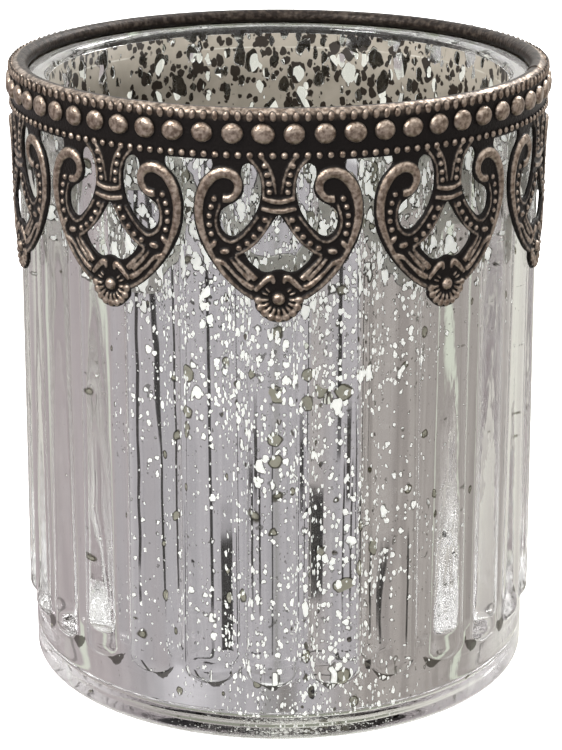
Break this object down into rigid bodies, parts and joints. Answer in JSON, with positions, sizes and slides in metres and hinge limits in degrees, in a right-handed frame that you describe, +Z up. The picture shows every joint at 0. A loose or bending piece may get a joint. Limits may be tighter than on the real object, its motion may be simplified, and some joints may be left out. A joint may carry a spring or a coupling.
{
  "type": "tealight holder",
  "caption": "Ribbed clear glass tumbler, silvered inside, for a tealight, with a rolled, beaded and pierced metal collar of heart-shaped pendants round its mouth.",
  "frame": {"origin": "centre of the foot, on the surface it stands on", "axes": "+Z up along the cup's own axis; -Y is the front, where one pendant hangs in the middle; +X to the right seen from the front"},
  "size_m": [0.0864, 0.0864, 0.1],
  "materials": {
    "glass_cup": "clear pressed glass, faint green tint",
    "mirror_film": "mottled silvering, broken by specks and bare spots",
    "backing_paint": "matte warm grey paint over the silvering, seen inside the cup",
    "collar": "dark antique copper, worn bright on the raised work"
  },
  "bodies": {
    "root": {"glass_cup": "glass_cup", "mirror_film": "mirror_film", "backing_paint": "backing_paint", "collar": "collar"}
  },
  "joints": []
}
